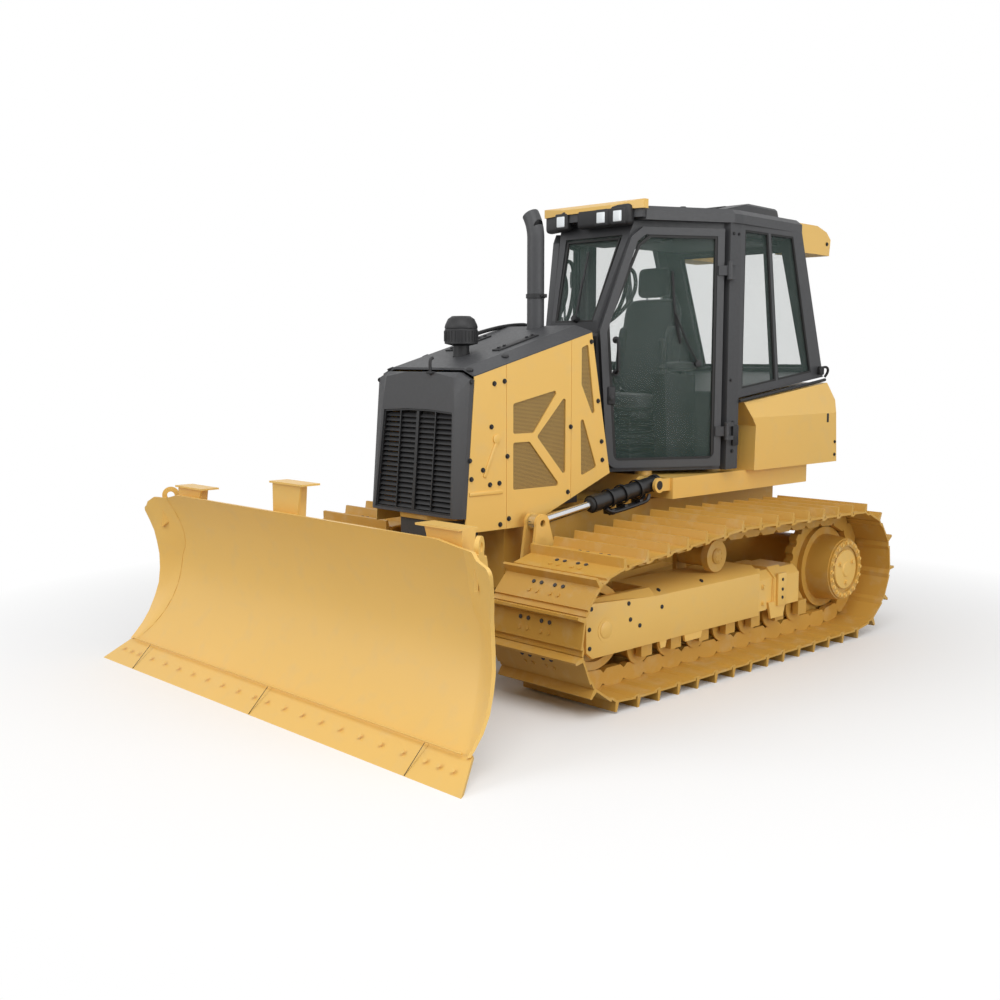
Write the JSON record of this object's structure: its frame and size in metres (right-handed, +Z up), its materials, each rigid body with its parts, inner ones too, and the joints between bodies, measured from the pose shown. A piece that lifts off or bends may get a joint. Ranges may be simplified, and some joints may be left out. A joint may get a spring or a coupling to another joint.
{
  "type": "bulldozer",
  "caption": "Low-ground-pressure crawler bulldozer with an enclosed cab and a straight blade that lifts, angles and tilts on a push frame.",
  "frame": {"origin": "middle of the machine's length and width, on the ground under the grousers", "axes": "+X forward, +Y to the operator's left, +Z up"},
  "size_m": [4.52, 3.22, 2.818],
  "materials": {
    "body_paint": "semi-gloss yellow paint",
    "dark_trim": "satin charcoal paint",
    "glass": "clear tinted",
    "steel": "ground and plated",
    "engine_iron": "painted casting",
    "black_grille": "satin black",
    "black_plastic": "grained",
    "upholstery": "woven",
    "cylinder_black": "gloss black paint"
  },
  "bodies": {
    "chassis": {"main_frame": "body_paint", "track_frames": "body_paint", "track_left": "body_paint", "track_right": "body_paint", "sprockets": "body_paint", "idlers": "body_paint", "track_rollers": "body_paint", "carrier_rollers": "body_paint", "engine": "engine_iron", "grille": "black_grille", "cowl": "dark_trim", "hood_top": "dark_trim", "hood_sides": "body_paint", "exhaust_stack": "dark_trim", "precleaner": "black_plastic", "cab_frame": "dark_trim", "cab_roof": "dark_trim", "air_conditioner": "dark_trim", "front_lights": "body_paint", "rear_lights": "body_paint", "windshield": "glass", "cab_glass": "glass", "seat": "upholstery", "consoles": "black_plastic", "rear_body": "body_paint", "platform": "body_paint", "drawbar": "body_paint"},
    "push_frame": {"c_frame": "body_paint"},
    "yoke": {"yoke": "body_paint"},
    "blade": {"moldboard": "body_paint", "cutting_edges": "body_paint"},
    "lift_barrel_left": {"lift_barrel_left": "cylinder_black"},
    "lift_barrel_right": {"lift_barrel_right": "cylinder_black"},
    "lift_rod_left": {"lift_rod_left": "steel"},
    "lift_rod_right": {"lift_rod_right": "steel"},
    "angle_barrel_left": {"angle_barrel_left": "cylinder_black"},
    "angle_barrel_right": {"angle_barrel_right": "cylinder_black"},
    "angle_rod_left": {"angle_rod_left": "steel"},
    "angle_rod_right": {"angle_rod_right": "steel"},
    "tilt_barrel": {"tilt_barrel": "cylinder_black"},
    "tilt_rod": {"tilt_rod": "steel"},
    "door_left": {"door_frame_left": "dark_trim", "door_glass_left": "glass"},
    "door_right": {"door_frame_right": "dark_trim", "door_glass_right": "glass"}
  },
  "joints": [
    {"name": "blade_lift", "type": "hinge", "parent": "chassis", "child": "push_frame", "pos_m": [-0.5, 0, 0.45], "axis": [0, -1, 0], "range_deg": [-12, 16]},
    {"name": "blade_angle", "type": "hinge", "parent": "push_frame", "child": "yoke", "pos_m": [1.56, 0, 0.37], "axis": [0, 0, 1], "range_deg": [-25, 25]},
    {"name": "blade_tilt", "type": "hinge", "parent": "yoke", "child": "blade", "pos_m": [1.795, 0, 0.48], "axis": [1, 0, 0], "range_deg": [-8, 8]},
    {"name": "lift_barrel_swing_left", "type": "hinge", "parent": "chassis", "child": "lift_barrel_left", "pos_m": [-0.3, 0.5, 1.02], "axis": [0, -1, 0], "range_deg": [-14.07, 18.72]},
    {"name": "lift_rod_slide_left", "type": "slide", "parent": "lift_barrel_left", "child": "lift_rod_left", "axis": [0.9901, 0, -0.14], "range_m": [-0.1628, 0.1224]},
    {"name": "lift_barrel_swing_right", "type": "hinge", "parent": "chassis", "child": "lift_barrel_right", "pos_m": [-0.3, -0.5, 1.02], "axis": [0, -1, 0], "range_deg": [-14.07, 18.72]},
    {"name": "lift_rod_slide_right", "type": "slide", "parent": "lift_barrel_right", "child": "lift_rod_right", "axis": [0.9901, 0, -0.14], "range_m": [-0.1628, 0.1224]},
    {"name": "angle_barrel_swing_left", "type": "hinge", "parent": "push_frame", "child": "angle_barrel_left", "pos_m": [0.85, 0.5, 0.37], "axis": [0, 0, 1], "range_deg": [-0.76, 0.76]},
    {"name": "angle_rod_slide_left", "type": "slide", "parent": "angle_barrel_left", "child": "angle_rod_left", "axis": [0.9992, -0.0392, 0], "range_m": [-0.2032, 0.2032]},
    {"name": "angle_barrel_swing_right", "type": "hinge", "parent": "push_frame", "child": "angle_barrel_right", "pos_m": [0.85, -0.5, 0.37], "axis": [0, 0, 1], "range_deg": [-0.76, 0.76]},
    {"name": "angle_rod_slide_right", "type": "slide", "parent": "angle_barrel_right", "child": "angle_rod_right", "axis": [0.9992, 0.0392, 0], "range_m": [-0.2032, 0.2032]},
    {"name": "tilt_barrel_swing", "type": "hinge", "parent": "yoke", "child": "tilt_barrel", "pos_m": [1.795, 0.27, 0.72], "axis": [1, 0, 0], "range_deg": [-4.38, 4.38]},
    {"name": "tilt_rod_slide", "type": "slide", "parent": "tilt_barrel", "child": "tilt_rod", "axis": [0, -1, 0], "range_m": [-0.0345, 0.0345]},
    {"name": "door_left_hinge", "type": "hinge", "parent": "chassis", "child": "door_left", "pos_m": [-0.84949, 0.66766, 1.83], "axis": [0, 0, 1], "range_deg": [0, 110]},
    {"name": "door_right_hinge", "type": "hinge", "parent": "chassis", "child": "door_right", "pos_m": [-0.84949, -0.66766, 1.83], "axis": [0, 0, -1], "range_deg": [0, 110]}
  ],
  "couplings": [
    {"joint": "lift_barrel_swing_left", "follows": "blade_lift", "ratio": 1.1633},
    {"joint": "lift_rod_slide_left", "follows": "blade_lift", "m_per_rad": -0.57952},
    {"joint": "lift_barrel_swing_right", "follows": "blade_lift", "ratio": 1.1633},
    {"joint": "lift_rod_slide_right", "follows": "blade_lift", "m_per_rad": -0.57952},
    {"joint": "angle_barrel_swing_left", "follows": "blade_angle", "ratio": 0.02607},
    {"joint": "angle_rod_slide_left", "follows": "blade_angle", "m_per_rad": -0.4635},
    {"joint": "angle_barrel_swing_right", "follows": "blade_angle", "ratio": 0.02607},
    {"joint": "angle_rod_slide_right", "follows": "blade_angle", "m_per_rad": 0.4635},
    {"joint": "tilt_barrel_swing", "follows": "blade_tilt", "ratio": 0.53459},
    {"joint": "tilt_rod_slide", "follows": "blade_tilt", "m_per_rad": 0.23988}
  ]
}
